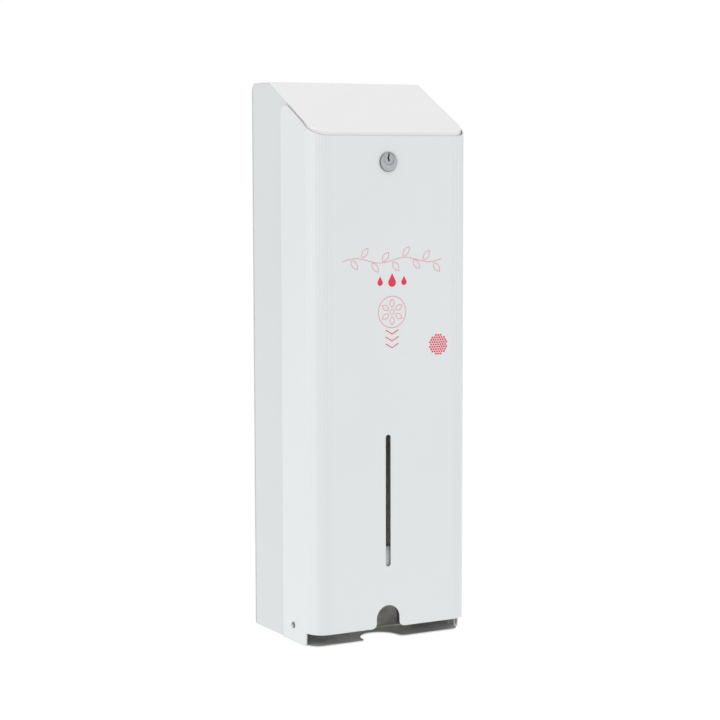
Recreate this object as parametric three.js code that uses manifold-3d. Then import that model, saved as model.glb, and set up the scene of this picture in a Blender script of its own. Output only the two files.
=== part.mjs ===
// A wall-hung dispenser for wrapped sanitary pads, folded from sheet steel.
// Millimetres. +Z is up, +X is to the right as the user faces it, -Y is the user's side.
// The pieces are laid out with Z = 0 at the bottom of the body and Y = 0 at the wall.
// At the end the whole group moves down by half the body's height, so that its origin is
// the middle of the face that lies on the wall.

import * as THREE from 'three';
import { mergeVertices } from 'three/addons/utils/BufferGeometryUtils.js';
import Module from 'manifold-3d';

const wasm = await Module();
wasm.setup();

// Overall size
const bodyHeight = 535;
const bodyWidth = 170;
const bodyDepth = 132;

// Sheets and the gaps between pieces
const bodySheet = 1.2;
const coverSheet = 1.2;
const magazineSheet = 1;
const weldGap = 0.2;
const flangeGap = 0.9;
const slideGap = 1;
const seatGap = 0.3;
const overrun = 2;

// Round features
const bendSteps = 6;
const holeSteps = 28;
const bendRadius = 2.4;

// Back and hood, one strip that runs up the wall, over the top and down the slope
const topDepth = 39;
const hoodSlope = THREE.MathUtils.degToRad(28);
const hoodRearRadius = 8;
const hoodCornerRadius = 15;
const hoodEdgeRadius = 0.5;
const hoodLipDrop = 8;
const hoodLipGap = 0.9;

// Keyholes for the wall screws, above the magazine, and round holes behind it
const keyholeSpacing = 100;
const keyholeDrop = 61;
const keyholeHeadRadius = 5.2;
const keyholeNeckRadius = 2.6;
const keyholeRise = 10;
const wallHoleSpacing = 70;
const wallHoleHeight = 112;
const wallHoleRadius = 2.8;
const driverHoleRadius = 7;

// Side panels
const sideInset = 21.6;
const sideWeldFlange = 9;
const slopeFlangeStart = 50;
const slopeFlangeInset = 6.4;

// Front cover
const coverBendRadius = 15.6;
const coverBendSteps = 10;
const coverFlangeLength = 65.4;
const coverFlangeCorner = 9;
const coverTopGap = 2.1;
const coverSideGap = 1;
const coverBottom = 13.5;
const tabTopInset = 17.5;
const tabBottomInset = 19.6;
const tabCorner = 1.2;

// Openings in the cover share one centre line with the magazine behind them
const openingCentre = -5.2;
const slotWidth = 5.7;
const slotBottom = 72.8;
const slotTop = 200.2;
const notchWidth = 25.6;
const notchTop = 35.2;
const notchFlare = 5;

// Hinge
const hingeInset = 44;
const hingeHeight = 16.1;
const rivetRadius = 2;
const rivetHeadRadius = 3;
const rivetHeadHeight = 1.3;
const rivetDomeShares = [[1, 0], [1, 0.3], [0.93, 0.62], [0.75, 0.87], [0.4, 1], [0, 1]];
const rivetPlay = 0.3;
const washerRadius = 4.5;
const washerThickness = 0.6;

// Dispensing shelf, which is the floor of the body
const shelfInset = 9.5;
const shelfCorner = 10;
const shelfCutWidth = 38.5;
const shelfCutDepth = 26;
const shelfCutFlare = 6;
const shelfSideFlangeHeight = 26;
const shelfSideFlangeStart = 12;
const shelfSideFlangeInset = 29;
const shelfRearFlangeHeight = 30;
const shelfRearFlangeWidth = 96;
const flangeCorner = 5;

// Magazine, a channel with narrow front lips that holds the stack of pads
const magazineWidth = 108;
const magazineInset = 16;
const magazineDrop = 22.4;
const magazineLip = 11;
const magazineMouth = 40;
const magazineMouthDepth = 78;
const studSpacing = 64;
const lowerStudHeight = 18;
const upperStudDrop = 36;
const studRadius = 2.5;
const studTail = 0.8;
const studPlay = 0.3;
const nutAcross = 8;
const nutThickness = 4;
const spacerStripEnd = 8;
const gateBottom = 42;
const gateTop = 92;
const gateWidth = 26;
const gateRise = 12.4;

// Stack pusher and its weight
const pusherSheet = 1.2;
const pusherHeight = 62;
const pusherCorner = 18;
const pusherSetback = 30;
const pusherSlant = 24;
const weightWidth = 84;
const weightDepth = 40;
const weightHeight = 30;
const weightRearSpace = 28;
const weightCorner = 4;
const weightScrewSpacing = 52;
const weightScrewRadius = 2.5;
const weightScrewHeadRadius = 4.25;
const weightScrewHeadHeight = 3.2;

// Cam lock with a plug that sits above the centre of its housing
const lockDrop = 27.2;
const lockFaceRadius = 9.3;
const lockFaceThickness = 1.6;
const lockFaceChamfer = 0.7;
const barrelRadius = 7.9;
const barrelFlat = 6.8;
const barrelLength = 17;
const barrelPlay = 0.25;
const plugRise = 2.7;
const plugHeadRadius = 5.6;
const plugHeadThickness = 1.2;
const plugRadius = 4.4;
const plugPlay = 0.15;
const keywayTop = 5;
const keywayBottom = 2.2;
const keywayWidth = 1.5;
const keywayStep = 0.75;
const keywayDepth = 11;
const tangSide = 5.6;
const lockNutAcross = 20;
const lockNutThickness = 4;
const camThickness = 2;
const camHubRadius = 7;
const camTipWidth = 11;
const camLength = 23;
const camScrewRadius = 1.6;
const camScrewLength = 5;
const camScrewHeadRadius = 4;
const camScrewHeadHeight = 2.4;
const strikeWidth = 30;
const strikeGap = 0.6;
const strikeDrop = 13.6;
const strikeFlange = 15;

// Sizes that follow from the ones above
const hoodReach = bodyDepth - coverSheet - hoodLipGap;
const sideDepth = bodyDepth - sideInset;
const coverFlangeDepth = bodyDepth - coverFlangeLength;
const hingeDepth = bodyDepth - hingeInset;
const slopeFlangeEnd = sideDepth - slopeFlangeInset;
const shelfReach = bodyDepth - shelfInset;
const shelfSideFlangeEnd = bodyDepth - shelfSideFlangeInset;
const magazineReach = bodyDepth - magazineInset;
const lockHeight = slopeHeight(bodyDepth, 0) - lockDrop;
const strikeBottom = lockHeight + strikeDrop;
const magazineTop = lockHeight - magazineDrop;
const upperStudHeight = magazineTop - upperStudDrop;
const keyholeHeight = bodyHeight - keyholeDrop;
const panelHalf = bodyWidth / 2 - coverSheet - flangeGap;
const panelInner = panelHalf - bodySheet;
const backInner = -bodySheet - weldGap;
const coverFront = -bodyDepth;
const coverBack = coverFront + coverSheet;
const shelfHalf = panelInner - weldGap;
const magazineBack = backInner - bodySheet - weldGap;
const magazineInnerBack = magazineBack - magazineSheet;
const magazineInnerFront = -magazineReach + magazineSheet;
const nutFront = magazineInnerBack - weldGap - nutThickness;
const studEnd = nutFront - studTail;
const barrelBack = coverFront + barrelLength;
const camFront = barrelBack + seatGap;
const camBack = camFront + camThickness;
const plugHeight = lockHeight + plugRise;

// Height of a line parallel to the hood's slope, a square distance under its outer face
function slopeHeight(depth, under) {
  return bodyHeight - (depth - topDepth) * Math.tan(hoodSlope) - under / Math.cos(hoodSlope);
}

// Solids and meshes

function solidOf(geometry) {
  const bare = geometry.clone();
  bare.deleteAttribute('normal');
  bare.deleteAttribute('uv');
  const merged = mergeVertices(bare);
  const mesh = new wasm.Mesh({
    numProp: 3,
    vertProperties: new Float32Array(merged.attributes.position.array),
    triVerts: new Uint32Array(merged.index.array),
  });
  return new wasm.Manifold(mesh);
}

function geometryOf(solid) {
  const mesh = solid.getMesh();
  const geometry = new THREE.BufferGeometry();
  geometry.setAttribute('position', new THREE.BufferAttribute(mesh.vertProperties.slice(), 3));
  geometry.setIndex(new THREE.BufferAttribute(mesh.triVerts.slice(), 1));
  geometry.computeVertexNormals();
  return geometry;
}

function joined(solids) {
  return solids.reduce((whole, piece) => whole.add(piece));
}

function without(solid, cuts) {
  return cuts.reduce((rest, cut) => rest.subtract(cut), solid);
}

// Outlines are lists of [u, v, radius] corners. A corner with a radius becomes a tangent arc.

function shapeOf(corners) {
  const shape = new THREE.Shape();
  const count = corners.length;
  corners.forEach((corner, index) => {
    const here = new THREE.Vector2(corner[0], corner[1]);
    const before = corners[(index + count - 1) % count];
    const after = corners[(index + 1) % count];
    const radius = corner[2] ?? 0;
    if (radius === 0) {
      addPoint(shape, here, index);
      return;
    }
    const back = new THREE.Vector2(before[0], before[1]).sub(here).normalize();
    const forward = new THREE.Vector2(after[0], after[1]).sub(here).normalize();
    const halfAngle = Math.acos(THREE.MathUtils.clamp(back.dot(forward), -1, 1)) / 2;
    const reach = radius / Math.tan(halfAngle);
    const start = here.clone().addScaledVector(back, reach);
    const end = here.clone().addScaledVector(forward, reach);
    const middle = back.clone().add(forward).normalize();
    const centre = here.clone().addScaledVector(middle, radius / Math.sin(halfAngle));
    const turnsRight = back.x * forward.y - back.y * forward.x > 0;
    addPoint(shape, start, index);
    shape.absarc(
      centre.x, centre.y, radius,
      Math.atan2(start.y - centre.y, start.x - centre.x),
      Math.atan2(end.y - centre.y, end.x - centre.x),
      turnsRight,
    );
  });
  return shape;
}

function addPoint(shape, point, index) {
  if (index === 0) {
    shape.moveTo(point.x, point.y);
  } else {
    shape.lineTo(point.x, point.y);
  }
}

// The line that runs beside a path, at a distance on its left
function besidePath(path, distance) {
  const points = path.map((corner) => new THREE.Vector2(corner[0], corner[1]));
  const directions = points.slice(1).map((point, index) => point.clone().sub(points[index]).normalize());
  const normals = directions.map((direction) => new THREE.Vector2(-direction.y, direction.x));
  return path.map((corner, index) => {
    const first = normals[Math.max(index - 1, 0)];
    const second = normals[Math.min(index, normals.length - 1)];
    const shift = distance / (1 + first.dot(second));
    const point = points[index].clone().addScaledVector(first.clone().add(second), shift);
    const turn = first.x * second.y - first.y * second.x;
    const radius = corner[2] ?? 0;
    const sideRadius = radius === 0 ? 0 : Math.max(radius - Math.sign(turn) * distance, 0);
    return [point.x, point.y, sideRadius];
  });
}

// A folded sheet seen from its edge: the path is one face, and the sheet lies on its left
function foldedSheet(path, thickness) {
  return [...path, ...besidePath(path, thickness).reverse()];
}

function mirrored(corners, side) {
  return corners.map(([u, v, radius]) => [u * side, v, radius]);
}

function rectangle(left, bottom, right, top, radius = 0) {
  return [[left, bottom, radius], [right, bottom, radius], [right, top, radius], [left, top, radius]];
}

// Extrusions of an outline along each axis

function extruded(shape, length, steps, place) {
  const geometry = new THREE.ExtrudeGeometry(shape, {
    depth: length,
    bevelEnabled: false,
    curveSegments: steps,
  });
  geometry.applyMatrix4(place);
  return solidOf(geometry);
}

// Corners are (x, y), from one height up to another
function alongZ(corners, bottom, top, steps = bendSteps) {
  const place = new THREE.Matrix4().makeTranslation(0, 0, bottom);
  return extruded(shapeOf(corners), top - bottom, steps, place);
}

// Corners are (y, z), from left to right
function alongX(corners, left, right, steps = bendSteps) {
  const turn = new THREE.Matrix4().makeBasis(
    new THREE.Vector3(0, 1, 0),
    new THREE.Vector3(0, 0, 1),
    new THREE.Vector3(1, 0, 0),
  );
  const place = new THREE.Matrix4().makeTranslation(left, 0, 0).multiply(turn);
  return extruded(shapeOf(corners), right - left, steps, place);
}

// Corners are (x, z), from the user's side back towards the wall
function alongY(corners, front, back, steps = bendSteps) {
  return alongYShape(shapeOf(corners), front, back, steps);
}

function alongYShape(shape, front, back, steps = bendSteps) {
  const turn = new THREE.Matrix4().makeBasis(
    new THREE.Vector3(1, 0, 0),
    new THREE.Vector3(0, 0, 1),
    new THREE.Vector3(0, -1, 0),
  );
  const place = new THREE.Matrix4().makeTranslation(0, back, 0).multiply(turn);
  return extruded(shape, back - front, steps, place);
}

// Turned pieces: a profile of [radius, distance] corners, about an axis

function turnedZ(profile, x, y, bottom, steps = holeSteps) {
  const geometry = new THREE.LatheGeometry(profile.map(([r, d]) => new THREE.Vector2(r, d)), steps);
  geometry.rotateX(Math.PI / 2);
  geometry.translate(x, y, bottom);
  return solidOf(geometry);
}

// The profile's distances run towards the wall
function turnedY(profile, x, front, z, steps = holeSteps) {
  const geometry = new THREE.LatheGeometry(profile.map(([r, d]) => new THREE.Vector2(r, d)), steps);
  geometry.translate(x, front, z);
  return solidOf(geometry);
}

// The profile's distances run outwards on the given side
function turnedX(profile, start, y, z, side, steps = holeSteps) {
  const geometry = new THREE.LatheGeometry(profile.map(([r, d]) => new THREE.Vector2(r, d)), steps);
  geometry.rotateZ(-side * Math.PI / 2);
  geometry.translate(start, y, z);
  return solidOf(geometry);
}

function rod(radius, length) {
  return [[0, 0], [radius, 0], [radius, length], [0, length]];
}

function ring(inner, outer, length) {
  return [[inner, 0], [outer, 0], [outer, length], [inner, length], [inner, 0]];
}

function hexagon(across, x, z) {
  const corner = across / Math.sqrt(3);
  const turns = [0, 1, 2, 3, 4, 5];
  return turns.map((turn) => [
    x + corner * Math.cos(turn * Math.PI / 3),
    z + corner * Math.sin(turn * Math.PI / 3),
  ]);
}

// A finger cut-out with a round end and a flared mouth, open at its low edge
function fingerCut(centre, width, mouth, end, flare) {
  const half = width / 2;
  const outer = half + flare;
  const roundCentre = end - half;
  const shape = new THREE.Shape();
  shape.moveTo(centre - outer, mouth - overrun);
  shape.lineTo(centre + outer, mouth - overrun);
  shape.lineTo(centre + outer, mouth);
  shape.absarc(centre + outer, mouth + flare, flare, -Math.PI / 2, -Math.PI, true);
  shape.absarc(centre, roundCentre, half, 0, Math.PI, false);
  shape.absarc(centre - outer, mouth + flare, flare, 0, -Math.PI / 2, true);
  return shape;
}

function flatShapeAlongZ(shape, bottom, top, steps) {
  return extruded(shape, top - bottom, steps, new THREE.Matrix4().makeTranslation(0, 0, bottom));
}

// Materials

const finishes = {
  white: { color: 0xe9edee, roughness: 0.42, metalness: 0 },
  zinc: { color: 0x9fa3a4, roughness: 0.45, metalness: 0.9 },
  chrome: { color: 0xb9bcbe, roughness: 0.22, metalness: 1 },
  steel: { color: 0x7d8082, roughness: 0.4, metalness: 1 },
  nylon: { color: 0xd9d8d2, roughness: 0.6, metalness: 0 },
  cast: { color: 0x4a4c4d, roughness: 0.7, metalness: 0.6 },
};

const dispenser = new THREE.Group();

function addPiece(name, solid, finish) {
  const mesh = new THREE.Mesh(geometryOf(solid), new THREE.MeshStandardMaterial(finishes[finish]));
  mesh.name = name;
  dispenser.add(mesh);
}

// Body: back and hood, two side panels

const hoodPath = [
  [0, 0],
  [0, bodyHeight, hoodRearRadius],
  [-topDepth, bodyHeight, bendRadius],
  [-bodyDepth, slopeHeight(bodyDepth, 0)],
];

function keyhole(x) {
  const front = -bodySheet - overrun;
  const back = overrun;
  const top = keyholeHeight + keyholeRise;
  return joined([
    turnedY(rod(keyholeHeadRadius, back - front), x, front, keyholeHeight),
    turnedY(rod(keyholeNeckRadius, back - front), x, front, top),
    alongY(rectangle(x - keyholeNeckRadius, keyholeHeight, x + keyholeNeckRadius, top), front, back),
  ]);
}

function wallHole(x, radius, front) {
  return turnedY(rod(radius, -front + overrun), x, front, wallHoleHeight);
}

// A tall block over the body's plan, whose top is level and has a rounded edge
function roundedBlock(plan, top) {
  const geometry = new THREE.ExtrudeGeometry(shapeOf(plan), {
    depth: 2 * bodyHeight,
    bevelThickness: hoodEdgeRadius,
    bevelSize: hoodEdgeRadius,
    bevelOffset: -hoodEdgeRadius,
    bevelSegments: bendSteps / 2,
    curveSegments: coverBendSteps,
  });
  geometry.translate(0, 0, top - 2 * bodyHeight - hoodEdgeRadius);
  return geometry;
}

// The lip is folded down from the hood's front edge and follows it round both corners
function hoodLip() {
  const inner = alongZ(
    [
      [-panelInner, overrun],
      [-panelInner, -hoodReach + bodySheet, hoodCornerRadius - bodySheet],
      [panelInner, -hoodReach + bodySheet, hoodCornerRadius - bodySheet],
      [panelInner, overrun],
    ],
    0, bodyHeight, coverBendSteps,
  );
  const ends = [bodyDepth, sideDepth + weldGap];
  const [top, bottom] = [bodySheet / 2, hoodLipDrop].map(
    (under) => ends.map((depth) => [-depth, slopeHeight(depth, under)]),
  );
  return alongX([...top, ...bottom.reverse()], -panelHalf, panelHalf).subtract(inner);
}

function backAndHood() {
  const plan = [
    [-panelHalf, overrun],
    [-panelHalf, -hoodReach, hoodCornerRadius],
    [panelHalf, -hoodReach, hoodCornerRadius],
    [panelHalf, overrun],
  ];
  const level = solidOf(roundedBlock(plan, bodyHeight));
  const lean = new THREE.Matrix4().makeShear(0, 0, 0, Math.tan(hoodSlope), 0, 0);
  const leaning = solidOf(roundedBlock(plan, slopeHeight(0, 0)).applyMatrix4(lean));
  const strip = alongX(foldedSheet(hoodPath, bodySheet), -panelHalf, panelHalf);
  const holes = [-1, 1].flatMap((side) => [
    keyhole(side * keyholeSpacing / 2),
    wallHole(openingCentre + side * wallHoleSpacing / 2, wallHoleRadius, -bodySheet - overrun),
  ]);
  return without(strip.add(hoodLip()).intersect(level).intersect(leaning), holes);
}

function sidePanel(side) {
  const plan = foldedSheet(
    [
      [panelHalf, -sideDepth],
      [panelHalf, backInner, bendRadius],
      [panelInner - sideWeldFlange, backInner],
    ],
    bodySheet,
  );
  const [, rearTop, slopeTop] = besidePath(hoodPath, bodySheet + weldGap);
  const outline = [
    [backInner + overrun, 0],
    [backInner + overrun, rearTop[1] - hoodRearRadius],
    [rearTop[0], rearTop[1] - hoodRearRadius],
    rearTop,
    slopeTop,
    [-sideDepth, slopeHeight(sideDepth, bodySheet + weldGap)],
    [-sideDepth, 0],
  ];
  const wall = alongZ(mirrored(plan, side), 0, bodyHeight).intersect(
    alongX(outline, -bodyWidth, bodyWidth),
  );
  const under = bodySheet + weldGap;
  const flange = [
    [-slopeFlangeStart, slopeHeight(slopeFlangeStart, under)],
    [-slopeFlangeEnd, slopeHeight(slopeFlangeEnd, under)],
    [-slopeFlangeEnd, slopeHeight(slopeFlangeEnd, under + bodySheet)],
    [-slopeFlangeStart, slopeHeight(slopeFlangeStart, under + bodySheet)],
  ];
  const inner = side * (panelInner - sideWeldFlange);
  const outer = side * (panelInner + bodySheet / 2);
  const slopeFlange = alongX(flange, Math.min(inner, outer), Math.max(inner, outer));
  const hole = turnedX(rod(rivetRadius + rivetPlay, bodySheet + 2 * overrun),
    side * (panelInner - overrun), -hingeDepth, hingeHeight, side);
  return without(wall.add(slopeFlange), [hole]);
}

addPiece('back_and_hood', backAndHood(), 'white');
addPiece('side_panel_left', sidePanel(-1), 'white');
addPiece('side_panel_right', sidePanel(1), 'white');

// Dispensing shelf

function dispensingShelf() {
  const rearHalf = panelInner - sideWeldFlange - weldGap;
  const rearNotch = backInner - bendRadius;
  const floor = alongZ(
    [
      [-rearHalf, backInner],
      [-rearHalf, rearNotch],
      [-shelfHalf, rearNotch],
      [-shelfHalf, -shelfReach, shelfCorner],
      [shelfHalf, -shelfReach, shelfCorner],
      [shelfHalf, rearNotch],
      [rearHalf, rearNotch],
      [rearHalf, backInner],
    ],
    0, bodySheet,
  );
  const sideOutline = [
    [-shelfSideFlangeStart, 0],
    [-shelfSideFlangeStart, shelfSideFlangeHeight, flangeCorner],
    [-shelfSideFlangeEnd, shelfSideFlangeHeight, flangeCorner],
    [-shelfSideFlangeEnd, 0],
  ];
  const sides = [-1, 1].map((side) => {
    const edges = [side * shelfHalf, side * (shelfHalf - bodySheet)].sort((a, b) => a - b);
    const wall = alongX(sideOutline, edges[0], edges[1]);
    const hole = turnedX(rod(rivetRadius + rivetPlay, bodySheet + 2 * overrun),
      side * (shelfHalf - bodySheet - overrun), -hingeDepth, hingeHeight, side);
    return wall.subtract(hole);
  });
  const half = shelfRearFlangeWidth / 2;
  const rear = alongY(
    [
      [openingCentre - half, 0],
      [openingCentre + half, 0],
      [openingCentre + half, shelfRearFlangeHeight, flangeCorner],
      [openingCentre - half, shelfRearFlangeHeight, flangeCorner],
    ],
    backInner - bodySheet, backInner,
  );
  const studHoles = [-1, 1].map((side) => turnedY(
    rod(studRadius + studPlay, bodySheet + 2 * overrun),
    openingCentre + side * studSpacing / 2, backInner - bodySheet - overrun, lowerStudHeight,
  ));
  const cut = flatShapeAlongZ(
    fingerCut(openingCentre, shelfCutWidth, -shelfReach, -shelfReach + shelfCutDepth, shelfCutFlare),
    -overrun, bodySheet + overrun, coverBendSteps,
  );
  return without(joined([floor, rear, ...sides]), [cut, ...studHoles]);
}

addPiece('dispensing_shelf', dispensingShelf(), 'white');

// Magazine channel, its studs, nuts and spacers

const studPlaces = [
  ['lower_left', -1, lowerStudHeight],
  ['lower_right', 1, lowerStudHeight],
  ['upper_left', -1, upperStudHeight],
  ['upper_right', 1, upperStudHeight],
].map(([name, side, height]) => ({ name, x: openingCentre + side * studSpacing / 2, height }));

function magazineChannel() {
  const outer = magazineWidth / 2 + magazineSheet;
  const lipEnd = magazineWidth / 2 - magazineLip;
  const plan = foldedSheet(
    [
      [openingCentre + lipEnd, -magazineReach],
      [openingCentre + outer, -magazineReach, bendRadius],
      [openingCentre + outer, magazineBack, bendRadius],
      [openingCentre - outer, magazineBack, bendRadius],
      [openingCentre - outer, -magazineReach, bendRadius],
      [openingCentre - lipEnd, -magazineReach],
    ],
    magazineSheet,
  );
  const channel = alongZ(plan, bodySheet + weldGap, magazineTop);
  const mouthHalf = magazineWidth / 2 + overrun;
  const mouth = alongX(
    [
      [-magazineReach - overrun, 0],
      [-magazineReach + magazineMouthDepth, 0],
      [-magazineReach + bendRadius, magazineMouth],
      [-magazineReach - overrun, magazineMouth],
    ],
    openingCentre - mouthHalf, openingCentre + mouthHalf,
  );
  const holes = studPlaces.map(({ x, height }) => turnedY(
    rod(studRadius + studPlay, magazineSheet + 2 * overrun),
    x, magazineInnerBack - overrun, height,
  ));
  const driverHoles = [-1, 1].map((side) => wallHole(
    openingCentre + side * wallHoleSpacing / 2, driverHoleRadius, magazineInnerBack - overrun,
  ));
  return without(channel, [mouth, ...holes, ...driverHoles]);
}

addPiece('magazine_channel', magazineChannel(), 'zinc');

for (const { name, x, height } of studPlaces) {
  const stud = turnedY(rod(studRadius, backInner - studEnd), x, studEnd, height);
  addPiece(`magazine_stud_${name}`, stud, 'steel');
  const nut = alongY(hexagon(nutAcross, x, height), nutFront, nutFront + nutThickness).subtract(
    turnedY(rod(studRadius + weldGap, nutThickness + 2 * overrun), x, nutFront - overrun, height),
  );
  addPiece(`magazine_nut_${name}`, nut, 'zinc');
}

// A strip as thick as the shelf's rear flange, which packs the magazine out at the top
function spacerStrip() {
  const half = studSpacing / 2 + spacerStripEnd;
  const strip = alongY(
    rectangle(
      openingCentre - half, upperStudHeight - spacerStripEnd,
      openingCentre + half, upperStudHeight + spacerStripEnd, spacerStripEnd / 2,
    ),
    backInner - bodySheet, backInner,
  );
  const holes = [-1, 1].map((side) => turnedY(
    rod(studRadius + studPlay, bodySheet + 2 * overrun),
    openingCentre + side * studSpacing / 2, backInner - bodySheet - overrun, upperStudHeight,
  ));
  return without(strip, holes);
}

// The gate closes the magazine's front above the mouth; its middle rises to just behind the cover
function stackGate() {
  const flangeFront = -magazineReach - weldGap - magazineSheet;
  const middleFront = flangeFront - gateRise;
  const half = magazineWidth / 2 - bendRadius;
  const plan = foldedSheet(
    [
      [openingCentre - half, flangeFront],
      [openingCentre - gateWidth / 2, flangeFront, bendRadius],
      [openingCentre - gateWidth / 2, middleFront, bendRadius],
      [openingCentre + gateWidth / 2, middleFront, bendRadius],
      [openingCentre + gateWidth / 2, flangeFront, bendRadius],
      [openingCentre + half, flangeFront],
    ],
    magazineSheet,
  );
  return alongZ(plan, gateBottom, gateTop);
}

addPiece('magazine_spacer_strip', spacerStrip(), 'zinc');
addPiece('stack_gate', stackGate(), 'zinc');

// Hinge rivets and washers

function hingeRivet(side) {
  const inner = shelfHalf - bodySheet - weldGap - rivetHeadHeight;
  const outer = bodyWidth / 2 + weldGap / 2 + rivetHeadHeight;
  const length = outer - inner;
  const neck = length - rivetHeadHeight;
  const profile = [
    [0, 0],
    [rivetHeadRadius, 0],
    [rivetHeadRadius, rivetHeadHeight],
    [rivetRadius, rivetHeadHeight],
    [rivetRadius, neck],
    ...rivetDomeShares.map(([across, up]) => [rivetHeadRadius * across, neck + rivetHeadHeight * up]),
  ];
  return turnedX(profile, side * inner, -hingeDepth, hingeHeight, side);
}

function hingeWasher(side) {
  const start = panelHalf + (flangeGap - washerThickness) / 2;
  const profile = ring(rivetRadius + rivetPlay, washerRadius, washerThickness);
  return turnedX(profile, side * start, -hingeDepth, hingeHeight, side);
}

for (const [name, side] of [['left', -1], ['right', 1]]) {
  addPiece(`hinge_rivet_${name}`, hingeRivet(side), 'steel');
  addPiece(`hinge_washer_${name}`, hingeWasher(side), 'nylon');
}

// Front cover

function frontCover() {
  const half = bodyWidth / 2;
  const plan = foldedSheet(
    [
      [-half, -coverFlangeDepth],
      [-half, coverFront, coverBendRadius],
      [half, coverFront, coverBendRadius],
      [half, -coverFlangeDepth],
    ],
    coverSheet,
  );
  const frontLimit = bodyDepth + overrun;
  const bendDepth = bodyDepth - coverBendRadius;
  const [besideHood, beforeHood] = [coverSideGap, coverTopGap].map(
    (gap) => bodySheet + gap * Math.cos(hoodSlope),
  );
  const outline = [
    [-coverFlangeDepth, 0],
    [-coverFlangeDepth, slopeHeight(coverFlangeDepth, besideHood), coverFlangeCorner],
    [-sideDepth, slopeHeight(sideDepth, besideHood)],
    [-bendDepth, slopeHeight(bendDepth, beforeHood)],
    [-frontLimit, slopeHeight(frontLimit, beforeHood)],
    [-frontLimit, coverBottom],
    [coverFront + tabTopInset, coverBottom, tabCorner],
    [coverFront + tabBottomInset, 0, tabCorner],
  ];
  const sheet = alongZ(plan, 0, bodyHeight, coverBendSteps).intersect(
    alongX(outline, -bodyWidth, bodyWidth, coverBendSteps),
  );
  const cutFront = coverFront - overrun;
  const cutBack = coverBack + overrun;
  const slotHalf = slotWidth / 2;
  const slotShape = new THREE.Shape();
  slotShape.absarc(openingCentre, slotTop - slotHalf, slotHalf, 0, Math.PI, false);
  slotShape.absarc(openingCentre, slotBottom + slotHalf, slotHalf, Math.PI, 2 * Math.PI, false);
  const slot = alongYShape(slotShape, cutFront, cutBack, coverBendSteps);
  const notch = alongYShape(
    fingerCut(openingCentre, notchWidth, coverBottom, notchTop, notchFlare),
    cutFront, cutBack, coverBendSteps,
  );
  const lockHole = barrel(barrelPlay, cutFront, cutBack);
  const rivetHoles = [-1, 1].map((side) => turnedX(
    rod(rivetRadius + rivetPlay, coverSheet + 2 * overrun),
    side * (half - coverSheet - overrun), -hingeDepth, hingeHeight, side,
  ));
  return without(sheet, [slot, notch, lockHole, ...rivetHoles]);
}

// The lock's barrel has two flats, left and right, that stop it turning in the cover
function barrel(play, front, back) {
  const round = turnedY(rod(barrelRadius + play, back - front), openingCentre, front, lockHeight);
  const flat = barrelFlat + play;
  const tall = barrelRadius + play + overrun;
  const flats = alongY(
    rectangle(openingCentre - flat, lockHeight - tall, openingCentre + flat, lockHeight + tall),
    front, back,
  );
  return round.intersect(flats);
}

addPiece('front_cover', frontCover(), 'white');

// Cam lock

const lockFaceFront = coverFront - weldGap / 2 - lockFaceThickness;
const plugFront = lockFaceFront + plugPlay;

function lockHousing() {
  const face = turnedY(
    [
      [0, 0],
      [lockFaceRadius - lockFaceChamfer, 0],
      [lockFaceRadius, lockFaceChamfer],
      [lockFaceRadius, lockFaceThickness],
      [0, lockFaceThickness],
    ],
    openingCentre, lockFaceFront, lockHeight,
  );
  const body = barrel(0, lockFaceFront + lockFaceThickness / 2, barrelBack);
  const seat = plugFront + plugHeadThickness + plugPlay;
  const headBore = turnedY(
    rod(plugHeadRadius + plugPlay, seat - lockFaceFront + overrun),
    openingCentre, lockFaceFront - overrun, plugHeight,
  );
  const bore = turnedY(
    rod(plugRadius + plugPlay, barrelBack - lockFaceFront + 2 * overrun),
    openingCentre, lockFaceFront - overrun, plugHeight,
  );
  return without(face.add(body), [headBore, bore]);
}

function squareOnPlug(side) {
  const half = side / 2;
  return rectangle(openingCentre - half, plugHeight - half, openingCentre + half, plugHeight + half);
}

// A stepped key slot, cut off at both ends inside the plug's head
function keywayOutline() {
  const half = keywayWidth / 2;
  const top = plugHeight + keywayTop;
  const bottom = plugHeight - keywayBottom;
  const third = (top - bottom) / 3;
  const left = openingCentre - half;
  const right = openingCentre + half;
  return [
    [left, bottom],
    [right, bottom],
    [right, bottom + third],
    [right - keywayStep, bottom + third],
    [right - keywayStep, bottom + third + keywayStep],
    [right, bottom + 2 * third],
    [right, top],
    [left, top],
    [left, top - third],
    [left - keywayStep, top - third - keywayStep],
    [left - keywayStep, bottom + third],
    [left, bottom + third - keywayStep],
  ];
}

function lockPlug() {
  const length = barrelBack - plugFront;
  const plug = turnedY(
    [
      [0, 0],
      [plugHeadRadius, 0],
      [plugHeadRadius, plugHeadThickness],
      [plugRadius, plugHeadThickness],
      [plugRadius, length],
      [0, length],
    ],
    openingCentre, plugFront, plugHeight,
  );
  const tang = alongY(squareOnPlug(tangSide), barrelBack - overrun, camBack);
  const keyway = alongY(keywayOutline(), plugFront - overrun, plugFront + keywayDepth);
  const screwHole = turnedY(
    rod(camScrewRadius + weldGap, camScrewLength + overrun),
    openingCentre, camBack - camScrewLength, plugHeight, holeSteps / 2,
  );
  return without(plug.add(tang), [keyway, screwHole]);
}

function lockNut() {
  const front = coverBack + weldGap / 2;
  const hex = alongY(hexagon(lockNutAcross, openingCentre, lockHeight), front, front + lockNutThickness);
  const hole = turnedY(
    rod(barrelRadius + barrelPlay, lockNutThickness + 2 * overrun),
    openingCentre, front - overrun, lockHeight,
  );
  return hex.subtract(hole);
}

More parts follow.
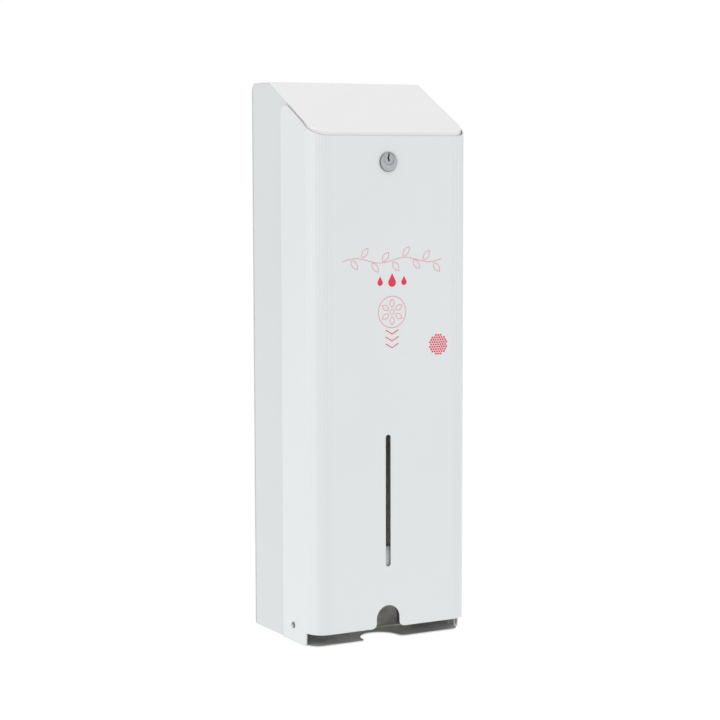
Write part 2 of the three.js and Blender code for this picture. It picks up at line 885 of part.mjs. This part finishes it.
// The cam points to the user's left while the lock is open
function lockCam() {
  const hub = turnedY(rod(camHubRadius, camThickness), openingCentre, camFront, plugHeight);
  const tipHalf = camTipWidth / 2;
  const arm = alongY(
    [
      [openingCentre, plugHeight - camHubRadius],
      [openingCentre, plugHeight + camHubRadius],
      [openingCentre - camLength, plugHeight + tipHalf, tipHalf / 2],
      [openingCentre - camLength, plugHeight - tipHalf, tipHalf / 2],
    ],
    camFront, camBack,
  );
  const hole = alongY(squareOnPlug(tangSide + 2 * plugPlay), camFront - overrun, camBack + overrun);
  return hub.add(arm).subtract(hole);
}

function camScrew() {
  const headFront = camBack + weldGap;
  const shank = camScrewLength - weldGap;
  const length = shank + camScrewHeadHeight;
  return turnedY(
    [
      [0, 0],
      [camScrewRadius, 0],
      [camScrewRadius, shank],
      [camScrewHeadRadius, shank],
      [camScrewHeadRadius, length],
      [0, length],
    ],
    openingCentre, headFront - shank, plugHeight, holeSteps / 2,
  );
}

// The strike hangs from the hood, and the cam turns up behind it
function lockStrike() {
  const front = camFront - strikeGap - bodySheet;
  const under = bodySheet + weldGap;
  const path = [
    [front, strikeBottom],
    [front, slopeHeight(-front, under), bendRadius],
    [front + strikeFlange, slopeHeight(-front - strikeFlange, under)],
  ];
  const section = foldedSheet(path, -bodySheet);
  return alongX(section, openingCentre - strikeWidth / 2, openingCentre + strikeWidth / 2);
}

addPiece('lock_housing', lockHousing(), 'chrome');
addPiece('lock_plug', lockPlug(), 'chrome');
addPiece('lock_nut', lockNut(), 'zinc');
addPiece('lock_cam', lockCam(), 'zinc');
addPiece('cam_screw', camScrew(), 'steel');
addPiece('lock_strike', lockStrike(), 'white');

// Stack pusher, its weight and screws

const pusherBottom = bodySheet + seatGap;
const pusherHalf = magazineWidth / 2 - slideGap;
const pusherRear = studEnd - slideGap;
const pusherFront = magazineInnerFront + pusherSetback;
const weightBottom = pusherBottom + pusherSheet + weldGap;
const weightRear = pusherRear - pusherSheet - weightRearSpace;
const weightMiddle = weightRear - weightDepth / 2;
const screwPlaces = [['left', -1], ['right', 1]].map(([name, side]) => ({
  name,
  x: openingCentre + side * weightScrewSpacing / 2,
}));

function screwHole(x) {
  const start = pusherBottom - overrun;
  return turnedZ(
    rod(weightScrewRadius + weldGap, weightBottom + weightHeight - start + overrun), x, weightMiddle, start,
  );
}

function stackPusher() {
  const top = pusherBottom + pusherHeight;
  const section = foldedSheet(
    [
      [openingCentre - pusherHalf, top],
      [openingCentre - pusherHalf, pusherBottom, bendRadius],
      [openingCentre + pusherHalf, pusherBottom, bendRadius],
      [openingCentre + pusherHalf, top],
    ],
    pusherSheet,
  );
  // The flanges' rounded corners share their upper edge
  const upperEdge = pusherRear - pusherFront - pusherSlant;
  const corner = Math.min(pusherCorner, upperEdge / 2);
  const outline = [
    [pusherFront, pusherBottom - overrun],
    [pusherRear, pusherBottom - overrun],
    [pusherRear, top, corner],
    [pusherFront + pusherSlant, top, corner],
    [pusherFront, pusherBottom + bendRadius],
  ];
  const folded = alongY(section, pusherFront, pusherRear).intersect(
    alongX(outline, -bodyWidth, bodyWidth),
  );
  return without(folded, screwPlaces.map(({ x }) => screwHole(x)));
}

function pusherWeight() {
  const half = weightWidth / 2;
  const block = alongZ(
    rectangle(openingCentre - half, weightRear - weightDepth, openingCentre + half, weightRear, weightCorner),
    weightBottom, weightBottom + weightHeight,
  );
  return without(block, screwPlaces.map(({ x }) => screwHole(x)));
}

function weightScrew(x) {
  const shank = weightBottom + weightHeight + weldGap - pusherBottom;
  const length = shank + weightScrewHeadHeight;
  return turnedZ(
    [
      [0, 0],
      [weightScrewRadius, 0],
      [weightScrewRadius, shank],
      [weightScrewHeadRadius, shank],
      [weightScrewHeadRadius, length],
      [0, length],
    ],
    x, weightMiddle, pusherBottom,
  );
}

addPiece('stack_pusher', stackPusher(), 'zinc');
addPiece('pusher_weight', pusherWeight(), 'cast');
for (const { name, x } of screwPlaces) {
  addPiece(`weight_screw_${name}`, weightScrew(x), 'steel');
}

dispenser.position.z = -bodyHeight / 2;

export default dispenser;
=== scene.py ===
"""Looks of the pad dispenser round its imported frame: materials, print, camera and lights."""
import math
import bmesh
import bpy
from mathutils import Matrix, Vector


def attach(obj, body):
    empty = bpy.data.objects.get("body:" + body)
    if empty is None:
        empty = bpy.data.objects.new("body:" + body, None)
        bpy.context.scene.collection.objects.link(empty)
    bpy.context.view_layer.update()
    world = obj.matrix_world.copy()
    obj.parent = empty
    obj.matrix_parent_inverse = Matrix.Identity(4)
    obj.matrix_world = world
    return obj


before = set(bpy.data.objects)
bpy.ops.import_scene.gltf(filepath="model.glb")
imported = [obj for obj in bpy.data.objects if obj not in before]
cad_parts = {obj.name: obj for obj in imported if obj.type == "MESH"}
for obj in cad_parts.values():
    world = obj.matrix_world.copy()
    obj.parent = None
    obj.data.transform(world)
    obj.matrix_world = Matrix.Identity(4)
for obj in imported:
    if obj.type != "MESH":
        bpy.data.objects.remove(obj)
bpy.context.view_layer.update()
scene = bpy.context.scene

MM = 0.001
HALF_HEIGHT = 267.5 * MM   # the body's bottom is this far under the origin
FRONT = -132 * MM          # the cover's outer face
HALF_WIDTH = 85 * MM       # from the middle to the cover's outer side

# The cover's front corners, bent by strikes of a press brake. Angles are in degrees and count
# from the flange, heights are in mm above the body's bottom.
CORNER_RADIUS = 15.6 * MM
STRIKE_STEP = 12.0         # between two strikes
STRIKE_FIRST = 7.0
RIDGE_SHARE = 0.17         # half a ridge's width, as a share of the step
RIDGE_OVERRUN = 0.6 * MM   # how far the ridges run on past the bend
RIDGE_HIGHLIGHT = 0.085         # how much lighter a ridge is painted, as a painted highlight
RIDGE_FAINT = 0.15         # what is left of the ridges at the fade's lower end
RIDGE_FADE = (120, 330)    # heights between which the ridges and their painted highlight fade
FRONT_SHADE_ANGLES = (42, 52)     # where the painted shade sets in towards the front
FRONT_SHADE_REACH = (-6 * MM, 2 * MM)
FRONT_SHADE_LOSS = 0.035          # how much darker the painted shade makes the cover

# The lock's two centres. The plug stands above the middle of its housing.
LOCK_X = -5.2 * MM
HOUSING_HEIGHT = 458.4
PLUG_HEIGHT = 461.1
PLUG_EDGE = 5.6 * MM       # the radius of the plug's face
GATE_TOP = 92              # height of the gate's upper edge


def up(z):
    """Height of a point given in mm above the body's bottom edge."""
    return z * MM - HALF_HEIGHT


# Short calls for shader nodes. Sockets and numbers may be mixed as inputs.

MIX_FACTOR, MIX_FIRST, MIX_SECOND, MIX_RESULT = 0, 6, 7, 2   # sockets of a Mix node for colours
NOISE_LOW, NOISE_HIGH = 0.3, 0.7   # a noise lies mostly between these


def new_material(name):
    material = bpy.data.materials.new(name)
    material.use_nodes = True
    tree = material.node_tree
    return material, tree, tree.nodes["Principled BSDF"]


def connect(tree, socket, value):
    if hasattr(value, "is_output"):
        tree.links.new(value, socket)
    else:
        socket.default_value = value


def add(tree, kind, inputs=None, **props):
    node = tree.nodes.new(kind)
    for key, value in props.items():
        setattr(node, key, value)
    for key, value in (inputs or {}).items():
        connect(tree, node.inputs[key], value)
    return node


def place_in(tree, space="Object"):
    """The point's place, or with Normal its normal, in the object's own axes."""
    return tree.nodes.new("ShaderNodeTexCoord").outputs[space]


def axes_of(tree, vector):
    return add(tree, "ShaderNodeSeparateXYZ", {"Vector": vector}).outputs


def ramp(tree, factor, stops):
    node = add(tree, "ShaderNodeValToRGB", {"Fac": factor})
    elements = node.color_ramp.elements
    while len(elements) < len(stops):
        elements.new(0.5)
    for element, (position, colour) in zip(elements, stops):
        element.position = position
        element.color = (*colour, 1.0)
    return node.outputs["Color"]


def spread(tree, factor, low, high, start=0.0, end=1.0):
    """Maps start to end onto low to high, clamped."""
    node = add(tree, "ShaderNodeMapRange", {"Value": factor, "From Min": start, "From Max": end,
                                            "To Min": low, "To Max": high})
    return node.outputs["Result"]


def calc(tree, operation, *values):
    node = add(tree, "ShaderNodeMath", operation=operation)
    for socket, value in zip(node.inputs, values):
        connect(tree, socket, value)
    return node.outputs[0]


def noise(tree, scale, detail, roughness=0.5, vector=None):
    if vector is None:
        vector = place_in(tree)
    node = add(tree, "ShaderNodeTexNoise",
               {"Vector": vector, "Scale": scale, "Detail": detail, "Roughness": roughness})
    return node.outputs["Fac"]


def grey(tree, value):
    """A neutral colour as bright as the value."""
    node = add(tree, "ShaderNodeCombineColor", {"Red": value, "Green": value, "Blue": value})
    return node.outputs["Color"]


def multiplied(tree, first, second):
    """The product of two colours."""
    node = add(tree, "ShaderNodeMix", {MIX_FACTOR: 1.0, MIX_FIRST: first, MIX_SECOND: second},
               data_type="RGBA", blend_type="MULTIPLY")
    return node.outputs[MIX_RESULT]


def bump(tree, shader, height, strength, distance, below=None):
    """Roughens the surface, on top of the bump below. The distance is in metres."""
    inputs = {"Height": height, "Strength": strength, "Distance": distance}
    if below is not None:
        inputs["Normal"] = below
    normal = add(tree, "ShaderNodeBump", inputs).outputs["Normal"]
    tree.links.new(normal, shader.inputs["Normal"])
    return normal


def tone(colour, factor):
    return tuple(min(c * factor, 1.0) for c in colour)


def two_tones(tree, factor, colour, low, high):
    """The colour times low to high, as a noise rises."""
    return ramp(tree, factor, [(NOISE_LOW, tone(colour, low)), (NOISE_HIGH, tone(colour, high))])


def vary(tree, factor, low, high):
    """Low to high, as a noise rises."""
    return spread(tree, factor, low, high, NOISE_LOW, NOISE_HIGH)


def surface(tree, shader, base, rough, metallic=0.0):
    connect(tree, shader.inputs["Base Color"], base)
    connect(tree, shader.inputs["Roughness"], rough)
    shader.inputs["Metallic"].default_value = metallic


# Finishes. Colours are linear, and noise scales are per metre.

def powder_coat(name, colour, rough, struck_corners=False):
    """Satin powder coat: orange peel, uneven gloss and a faint drift of tone."""
    material, tree, shader = new_material(name)
    drift = noise(tree, scale=7.0, detail=4.0, roughness=0.55)
    fine = noise(tree, scale=160.0, detail=2.0)
    base = ramp(tree, drift, [(0.25, tone(colour, 0.985)), (0.75, tone(colour, 1.012))])
    gloss = calc(tree, "ADD", vary(tree, drift, rough - 0.03, rough + 0.03),
                 spread(tree, fine, -0.015, 0.015))
    peel = noise(tree, scale=420.0, detail=2.0, roughness=0.45)
    speck = noise(tree, scale=1900.0, detail=1.0)
    normal = bump(tree, shader, peel, strength=0.10, distance=0.4 * MM)
    normal = bump(tree, shader, speck, strength=0.05, distance=0.15 * MM, below=normal)
    if struck_corners:
        ridges, front_shade = strike_marks(tree)
        bump(tree, shader, ridges, strength=0.3, distance=0.4 * MM, below=normal)
        # Painted highlight: the ridges are made lighter in colour.
        ridge_highlight = calc(tree, "MULTIPLY", ridges, RIDGE_HIGHLIGHT)
        # Painted shade: the cover is made darker round the corners towards the front.
        kept = calc(tree, "SUBTRACT", 1.0, calc(tree, "MULTIPLY", front_shade, FRONT_SHADE_LOSS))
        base = multiplied(tree, base, grey(tree, calc(tree, "ADD", ridge_highlight, kept)))
    surface(tree, shader, base, gloss)
    shader.inputs["IOR"].default_value = 1.5
    shader.inputs["Coat Weight"].default_value = 0.25
    shader.inputs["Coat Roughness"].default_value = 0.18
    return material


def strike_marks(tree):
    """A low ridge along each strike round both front corners, and a painted shade towards the
    front.
    """
    x, y, z = axes_of(tree, place_in(tree))
    across = calc(tree, "SUBTRACT", calc(tree, "ABSOLUTE", x), HALF_WIDTH - CORNER_RADIUS)
    along = calc(tree, "SUBTRACT", FRONT + CORNER_RADIUS, y)
    angle = calc(tree, "ARCTAN2", along, across)
    # The phase is a half on a strike
    shifted = calc(tree, "ADD", angle, math.radians(STRIKE_STEP / 2 - STRIKE_FIRST))
    phase = calc(tree, "FRACT", calc(tree, "DIVIDE", shifted, math.radians(STRIKE_STEP)))
    near = calc(tree, "ABSOLUTE", calc(tree, "SUBTRACT", phase, 0.5))
    ridge = spread(tree, near, 1.0, 0.0, 0.0, RIDGE_SHARE)
    inside = calc(tree, "MULTIPLY", calc(tree, "GREATER_THAN", along, -RIDGE_OVERRUN),
                  calc(tree, "GREATER_THAN", across, -RIDGE_OVERRUN))
    fade = spread(tree, z, RIDGE_FAINT, 1.0, *(up(height) for height in RIDGE_FADE))
    front_shade = calc(tree, "MULTIPLY",
                spread(tree, angle, 0.0, 1.0, *(math.radians(a) for a in FRONT_SHADE_ANGLES)),
                spread(tree, across, 0.0, 1.0, *FRONT_SHADE_REACH))
    return calc(tree, "MULTIPLY", calc(tree, "MULTIPLY", ridge, inside), fade), front_shade


def zinc_plate(name, colour, rough):
    """Hot-dip galvanised sheet: spangles of differing tone and gloss, with rolling marks."""
    material, tree, shader = new_material(name)
    place = place_in(tree)
    # The place is multiplied by a noise, which makes the spangles ragged and uneven in size
    warp = add(tree, "ShaderNodeTexNoise", {"Vector": place, "Scale": 60.0, "Detail": 2.0})
    factor = warp.outputs["Color"]
    shift = add(tree, "ShaderNodeVectorMath", {0: factor, "Scale": 6 * MM}, operation="SCALE")
    warped = add(tree, "ShaderNodeVectorMath", {0: place, 1: factor, 2: shift.outputs["Vector"]},
                 operation="MULTIPLY_ADD")
    cells = add(tree, "ShaderNodeTexVoronoi", {"Vector": warped.outputs["Vector"], "Scale": 95.0})
    split = add(tree, "ShaderNodeSeparateColor", {"Color": cells.outputs["Color"]})
    shade = split.outputs["Red"]
    base = ramp(tree, shade, [(0.0, tone(colour, 0.9)), (1.0, tone(colour, 1.06))])
    surface(tree, shader, base, spread(tree, shade, rough + 0.08, rough - 0.08), 0.15)
    stretched = add(tree, "ShaderNodeMapping", {"Vector": place, "Scale": (400.0, 400.0, 14.0)})
    rolled = noise(tree, scale=1.0, detail=2.0, vector=stretched.outputs["Vector"])
    normal = bump(tree, shader, rolled, strength=0.06, distance=0.1 * MM)
    bump(tree, shader, shade, strength=0.08, distance=0.1 * MM, below=normal)
    return material


def gate_plate(name, colour, rough, top):
    """Bright zinc with a painted shade that darkens it over the last 9 mm below the piece's upper
    edge.
    """
    material, tree, shader = new_material(name)
    z = axes_of(tree, place_in(tree))["Z"]
    grain = noise(tree, scale=520.0, detail=4.0, roughness=0.6)
    height = calc(tree, "ADD", z, spread(tree, grain, -0.5 * MM, 0.5 * MM))
    # Painted shade, darkest at the upper edge.
    top_shade = spread(tree, height, 0.0, 1.0, top - 9 * MM, top)
    base = ramp(tree, top_shade, [(0.0, colour), (0.45, tone(colour, 0.9)), (1.0, tone(colour, 0.55))])
    surface(tree, shader, base, vary(tree, grain, rough + 0.06, rough - 0.06), 0.5)
    bump(tree, shader, grain, strength=0.1, distance=0.1 * MM)
    return material


def turned_metal(name, colour, rough, centre, flank_shade, rim=None):
    """Plated metal with the fine circular marks of turning about an axis along Y.

    Its flanks get a painted shade that keeps the given share of their tone, and a rim, where it
    has one, gets a painted shade that darkens it.
    """
    material, tree, shader = new_material(name)
    x, _, z = axes_of(tree, place_in(tree))
    dx = calc(tree, "SUBTRACT", x, centre[0])
    dz = calc(tree, "SUBTRACT", z, centre[1])
    squares = calc(tree, "ADD", calc(tree, "MULTIPLY", dx, dx), calc(tree, "MULTIPLY", dz, dz))
    radius = calc(tree, "SQRT", squares)
    ring = add(tree, "ShaderNodeCombineXYZ", {"X": radius})
    marks = noise(tree, scale=2600.0, detail=3.0, roughness=0.6, vector=ring.outputs["Vector"])
    stain = noise(tree, scale=240.0, detail=3.0)
    base = two_tones(tree, stain, colour, 0.92, 1.05)
    if rim is not None:
        # Painted shade darkening the plug towards its rim, down to half its tone.
        edge = spread(tree, radius, 1.0, 0.5, rim - 0.6 * MM, rim)
        base = multiplied(tree, base, grey(tree, edge))
    # Painted shade on the flanks, which do not face along Y.
    painted_light_facing = calc(tree, "ABSOLUTE", axes_of(tree, place_in(tree, "Normal"))["Y"])
    base = multiplied(tree, base, grey(tree, spread(tree, painted_light_facing, flank_shade, 1.0, 0.6, 0.97)))
    surface(tree, shader, base, vary(tree, marks, rough - 0.06, rough + 0.08), 1.0)
    bump(tree, shader, marks, strength=0.12, distance=0.08 * MM)
    return material


def plain_steel(name, colour, rough):
    """Zinc-plated or oiled steel of small fasteners: mottled, with light scratches."""
    material, tree, shader = new_material(name)
    mottle = noise(tree, scale=520.0, detail=4.0, roughness=0.6)
    base = two_tones(tree, mottle, colour, 0.8, 1.15)
    surface(tree, shader, base, vary(tree, mottle, rough + 0.08, rough - 0.06), 0.9)
    scratches = noise(tree, scale=2400.0, detail=3.0, roughness=0.6)
    bump(tree, shader, scratches, strength=0.15, distance=0.1 * MM)
    return material


def domed_head(name, colour, rough):
    """A rivet head with its axis along X: a painted highlight where it is flat and a painted
    shade round its edge.
    """
    material, tree, shader = new_material(name)
    flat = calc(tree, "ABSOLUTE", axes_of(tree, place_in(tree, "Normal"))["X"])
    uneven_light = noise(tree, scale=700.0, detail=3.0)
    painted_light_facing = calc(tree, "ADD", flat, vary(tree, uneven_light, -0.12, 0.12))
    # Painted highlight where the head is flat, painted shade round its edge; the noise makes the
    # border uneven.
    base = ramp(tree, painted_light_facing,
                [(0.55, tone(colour, 0.42)), (0.93, colour), (1.0, tone(colour, 1.5))])
    surface(tree, shader, base, spread(tree, painted_light_facing, rough + 0.1, rough - 0.06), 0.9)
    scratches = noise(tree, scale=2400.0, detail=3.0, roughness=0.6)
    bump(tree, shader, scratches, strength=0.12, distance=0.1 * MM)
    return material


def moulded(name, colour, rough):
    """Nylon, slightly cloudy."""
    material, tree, shader = new_material(name)
    cloud = noise(tree, scale=300.0, detail=3.0)
    base = two_tones(tree, cloud, colour, 0.95, 1.03)
    surface(tree, shader, base, spread(tree, cloud, rough - 0.05, rough + 0.05))
    shader.inputs["Subsurface Weight"].default_value = 0.05
    grain = noise(tree, scale=1500.0, detail=2.0)
    bump(tree, shader, grain, strength=0.08, distance=0.1 * MM)
    return material


def cast_block(name, colour):
    """Cast iron with a pitted skin."""
    material, tree, shader = new_material(name)
    pits = noise(tree, scale=700.0, detail=5.0, roughness=0.65)
    wide = noise(tree, scale=60.0, detail=3.0)
    base = two_tones(tree, wide, colour, 0.75, 1.3)
    surface(tree, shader, base, vary(tree, pits, 0.55, 0.8), 0.25)
    bump(tree, shader, pits, strength=0.5, distance=0.3 * MM)
    return material


def ink(name, colour):
    """Screen-printed ink, a little uneven in density."""
    material, tree, shader = new_material(name)
    density = noise(tree, scale=900.0, detail=3.0, roughness=0.6)
    base = ramp(tree, density, [(0.25, tone(colour, 1.1)), (0.75, tone(colour, 0.94))])
    surface(tree, shader, base, spread(tree, density, 0.38, 0.5))
    bump(tree, shader, density, strength=0.05, distance=0.05 * MM)
    return material


# One white powder coat on the real thing. Its copies here differ in tone as painted light: the
# side panels and lock strike darkest, then the cover, the shelf, and the hood lightest.
body_paint = powder_coat("body_paint", (0.681, 0.704, 0.708), 0.40)
# Lighter than real zinc: painted light, to lift the shaded inside behind the slot.
zinc = zinc_plate("magazine_zinc", (0.92, 0.905, 0.865), 0.42)
bright_zinc = plain_steel("bright_zinc", (0.62, 0.62, 0.61), 0.34)
bolt_steel = plain_steel("bolt_steel", (0.33, 0.33, 0.34), 0.42)
rivet_steel = domed_head("rivet_steel", (0.33, 0.333, 0.33), 0.28)
nylon = moulded("washer_nylon", (0.78, 0.77, 0.72), 0.5)
ink_pale = ink("ink_outline", (0.79, 0.31, 0.38))
ink_red = ink("ink_solid", (0.74, 0.025, 0.08))

finish_of = {
    # The cover's, hood's and shelf's paints are lit and shaded copies of the body's white coat:
    # their tones are painted light.
    "front_cover": powder_coat("cover_paint", (0.755, 0.781, 0.782), 0.34, struck_corners=True),
    "back_and_hood": powder_coat("hood_paint", (0.843, 0.828, 0.835), 0.36),
    "side_panel_left": body_paint,
    "side_panel_right": body_paint,
    "dispensing_shelf": powder_coat("shelf_paint", (0.79, 0.793, 0.785), 0.40),
    "lock_strike": body_paint,
    "magazine_channel": zinc,
    "stack_gate": gate_plate("gate_zinc", (0.49, 0.497, 0.508), 0.45, up(GATE_TOP)),
    "magazine_spacer_strip": bright_zinc,
    "stack_pusher": zinc,
    "lock_housing": turned_metal("lock_housing_metal", (0.545, 0.557, 0.577), 0.33,
                                 (LOCK_X, up(HOUSING_HEIGHT)), flank_shade=0.22),
    "lock_plug": turned_metal("lock_plug_metal", (0.525, 0.537, 0.547), 0.30,
                              (LOCK_X, up(PLUG_HEIGHT)), flank_shade=0.04, rim=PLUG_EDGE),
    "lock_nut": bright_zinc,
    "lock_cam": bright_zinc,
    "cam_screw": bolt_steel,
    # Far lighter than cast iron: painted light, to lift the shaded inside behind the notch.
    "pusher_weight": cast_block("weight_iron", (0.545, 0.53, 0.495)),
    "hinge_rivet_left": rivet_steel,
    "hinge_rivet_right": rivet_steel,
    "hinge_washer_left": nylon,
    "hinge_washer_right": nylon,
}
for name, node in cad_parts.items():
    # The magazine's nuts, its studs and the weight's screws are left
    material = finish_of.get(name, bright_zinc if "nut" in name else bolt_steel)
    node.data.materials.clear()
    node.data.materials.append(material)


# Print on the cover: flat shapes of ink. Points are (x, z) in mm, z above the body's bottom.

INK_Y = FRONT - 0.06 * MM   # a little off the paint


def ink_point(mesh, x, z):
    return mesh.verts.new((x * MM, INK_Y, up(z)))


def curve_points(function, count, closed=True):
    last = count if closed else count - 1
    return [function(i / last) for i in range(count)]


def ribbon(mesh, points, width, closed=True):
    """A flat line of even width along the points."""
    count = len(points)
    left, right = [], []
    for i, (x, z) in enumerate(points):
        before = points[(i - 1) % count] if closed or i > 0 else points[i]
        after = points[(i + 1) % count] if closed or i < count - 1 else points[i]
        direction = Vector((after[0] - before[0], after[1] - before[1])).normalized()
        side = Vector((-direction.y, direction.x)) * width / 2
        left.append(ink_point(mesh, x + side.x, z + side.y))
        right.append(ink_point(mesh, x - side.x, z - side.y))
    for i in range(count if closed else count - 1):
        j = (i + 1) % count
        mesh.faces.new((left[i], left[j], right[j], right[i]))


def patch(mesh, points):
    """A filled convex shape."""
    mesh.faces.new([ink_point(mesh, x, z) for x, z in points])


def beside(x, z, distance, angle):
    """The point at a distance from (x, z), in the direction of the angle."""
    return x + distance * math.cos(angle), z + distance * math.sin(angle)


def leaf(x, z, length, width, turn, steps=14):
    """Points of a pointed leaf whose stem end is at (x, z)."""

    def rim(share, side):
        return share * length, side * width / 2 * math.sin(math.pi * share)

    points = [rim(i / steps, 1) for i in range(1, steps)]
    points += [rim(1 - i / steps, -1) for i in range(steps)]
    cos, sin = math.cos(turn), math.sin(turn)
    return [(x + u * cos - v * sin, z + u * sin + v * cos) for u, v in points]


def circle(x, z, radius, count):
    return curve_points(lambda t: beside(x, z, radius, 2 * math.pi * t), count)


def drop(x, z, radius, steps=24):
    """A round drop with its point upwards."""
    start, turn, height = -220, 260, 2.1
    points = [beside(x, z, radius, math.radians(start + turn * i / steps))
              for i in range(steps + 1)]
    return points + [(x, z + height * radius)]


def print_piece(name, material, draw):
    mesh = bmesh.new()
    draw(mesh)
    for face in mesh.faces:
        face.normal_update()
        if face.normal.y > 0:
            face.normal_flip()
    data = bpy.data.meshes.new(name)
    mesh.to_mesh(data)
    mesh.free()
    data.materials.append(material)
    piece = bpy.data.objects.new(name, data)
    scene.collection.objects.link(piece)
    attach(piece, "cover")


def draw_leaf_band(mesh):
    """A wavy stem with nine leaves, turned up and down by turns."""
    start, length, height, swing, line = -54, 107, 366, 2.4, 0.65
    leaves, first, pitch, turn, gap = 9, -46, 11.2, math.radians(52), 1.2

    def wave(share):
        return height + swing * math.sin(4 * math.pi * share)

    stem = curve_points(lambda t: (start + length * t, wave(t)), 72, closed=False)
    ribbon(mesh, stem, line, closed=False)
    for i in range(leaves):
        x = first + pitch * i
        angle = turn if i % 2 else -turn
        foot = beside(x, wave((x - start) / length), gap, angle)
        ribbon(mesh, leaf(*foot, length=11.5, width=5.4, turn=angle), line)


def draw_drops(mesh):
    height = 345
    for x, radius in ((-14, 2.9), (-1, 4.2), (12, 2.9)):
        patch(mesh, drop(x, height, radius))


def draw_flower_ring(mesh):
    """Six petals and a small ring inside a large one."""
    x, z, petals, gap, line = -1, 317, 6, 3.9, 0.7
    ribbon(mesh, circle(x, z, radius=15, count=64), line)
    for i in range(petals):
        angle = math.radians(60 * i + 30)
        foot = beside(x, z, gap, angle)
        ribbon(mesh, leaf(*foot, length=8.6, width=4.6, turn=angle), line)
    ribbon(mesh, circle(x, z, radius=2.3, count=24), width=0.6)


def draw_chevrons(mesh):
    left, middle, right, rise, dip = -8, -1, 6, 3, 1
    for z in (297, 290.5, 284):
        points = [(left, z + rise), (middle, z - dip), (right, z + rise)]
        ribbon(mesh, points, width=0.9, closed=False)


def draw_dot_patch(mesh):
    """Six-sided dots in staggered rows, inside a round outline."""
    middle_x, middle_z, reach, pitch, radius, sides = 50, 284, 9.6, 2.6, 1.12, 6
    for row in range(-4, 5):
        for column in range(-4, 5):
            x = (column + (0.5 if row % 2 else 0)) * pitch
            z = row * pitch * math.sqrt(3) / 2
            if math.hypot(x, z) < reach:
                patch(mesh, circle(middle_x + x, middle_z + z, radius, sides))


print_piece("cover_print_leaf_band", ink_pale, draw_leaf_band)
print_piece("cover_print_drops", ink_red, draw_drops)
print_piece("cover_print_flower_ring", ink_pale, draw_flower_ring)
print_piece("cover_print_chevrons", ink_red, draw_chevrons)
print_piece("cover_print_dot_patch", ink_red, draw_dot_patch)


# Camera, from a fit of the photograph's edges

CAMERA_PLACE = (-0.93459, -1.75474, 0.18775)
CAMERA_TURN = (28.98, 5.61, -0.12)   # yaw, pitch and roll in degrees
FOCAL_PIXELS = 1982.2
PHOTO_PIXELS = 720
SENSOR_WIDTH = 36.0                  # mm


def add_camera():
    yaw, pitch, roll = (math.radians(angle) for angle in CAMERA_TURN)
    forward = Vector((math.sin(yaw) * math.cos(pitch), math.cos(yaw) * math.cos(pitch),
                      -math.sin(pitch)))
    level = forward.cross(Vector((0, 0, 1))).normalized()
    above = level.cross(forward)
    right = level * math.cos(roll) + above * math.sin(roll)
    above = above * math.cos(roll) - level * math.sin(roll)
    data = bpy.data.cameras.new("camera")
    data.sensor_width = SENSOR_WIDTH
    data.lens = FOCAL_PIXELS / PHOTO_PIXELS * SENSOR_WIDTH
    data.clip_start = 0.05
    data.clip_end = 60.0
    camera = bpy.data.objects.new("camera", data)
    scene.collection.objects.link(camera)
    place = Matrix((right, above, -forward)).transposed().to_4x4()
    place.translation = Vector(CAMERA_PLACE)
    camera.matrix_world = place
    scene.camera = camera


# Floor, lights and surroundings

FLOOR_RADIUS = 9.0
FLOOR_DROP = 0.42      # from the body's bottom, which hangs above the floor
FLOOR_TONE = (0.6, 0.6, 0.6, 1)
FLOOR_GLOW = 0.55
SKY_SEEN = 1.02        # strength of the white that the camera sees
SKY_FELT = 0.75        # strength of the light that the dispenser gets
SKY_COLOUR = (0.985, 0.995, 1, 1)
WHITE = (1, 1, 1, 1)

# Name, place, aim, width and height, watts, colour
LIGHTS = (
    ("key_left", (-2.75, -0.5, 1.3), (0, -0.06, 0), (1.6, 2.2), 14.1, (1, 0.99, 0.975)),
    ("fill_right", (2.2, -1.4, 0.6), (0, -0.06, 0), (1.2, 2.0), 3.1, (1, 1, 1)),
    ("top", (0.3, -0.7, 2.4), (0, -0.07, 0.1), (2.0, 1.6), 12.3, (1, 1, 1)),
)


def add_floor():
    mesh = bmesh.new()
    bmesh.ops.create_circle(mesh, cap_ends=True, segments=96, radius=FLOOR_RADIUS)
    data = bpy.data.meshes.new("floor")
    mesh.to_mesh(data)
    mesh.free()
    material, _, shader = new_material("floor_white")
    shader.inputs["Base Color"].default_value = FLOOR_TONE
    shader.inputs["Roughness"].default_value = 0.9
    shader.inputs["Specular IOR Level"].default_value = 0.1
    shader.inputs["Emission Color"].default_value = WHITE
    shader.inputs["Emission Strength"].default_value = FLOOR_GLOW
    data.materials.append(material)
    floor = bpy.data.objects.new("floor", data)
    floor.location = (0, 0, -HALF_HEIGHT - FLOOR_DROP)
    scene.collection.objects.link(floor)


def add_light(name, place, aim, size, watts, colour):
    data = bpy.data.lights.new(name, "AREA")
    data.shape = "RECTANGLE"
    data.size, data.size_y = size
    data.energy = watts
    data.color = colour
    light = bpy.data.objects.new(name, data)
    light.location = place
    direction = Vector(aim) - Vector(place)
    light.rotation_euler = direction.to_track_quat("-Z", "Y").to_euler()
    scene.collection.objects.link(light)


def add_surroundings():
    world = bpy.data.worlds.new("surroundings")
    scene.world = world
    world.use_nodes = True
    tree = world.node_tree
    tree.nodes.clear()
    rays = tree.nodes.new("ShaderNodeLightPath")
    felt = add(tree, "ShaderNodeBackground", {"Color": SKY_COLOUR, "Strength": SKY_FELT})
    seen = add(tree, "ShaderNodeBackground", {"Color": WHITE, "Strength": SKY_SEEN})
    mix = add(tree, "ShaderNodeMixShader",
              {0: rays.outputs["Is Camera Ray"], 1: felt.outputs[0], 2: seen.outputs[0]})
    add(tree, "ShaderNodeOutputWorld", {"Surface": mix.outputs[0]})


add_camera()
add_floor()
for light in LIGHTS:
    add_light(*light)
add_surroundings()

scene.view_settings.view_transform = "Standard"
scene.view_settings.look = "None"
scene.view_settings.exposure = 0.0
scene.view_settings.gamma = 1.0
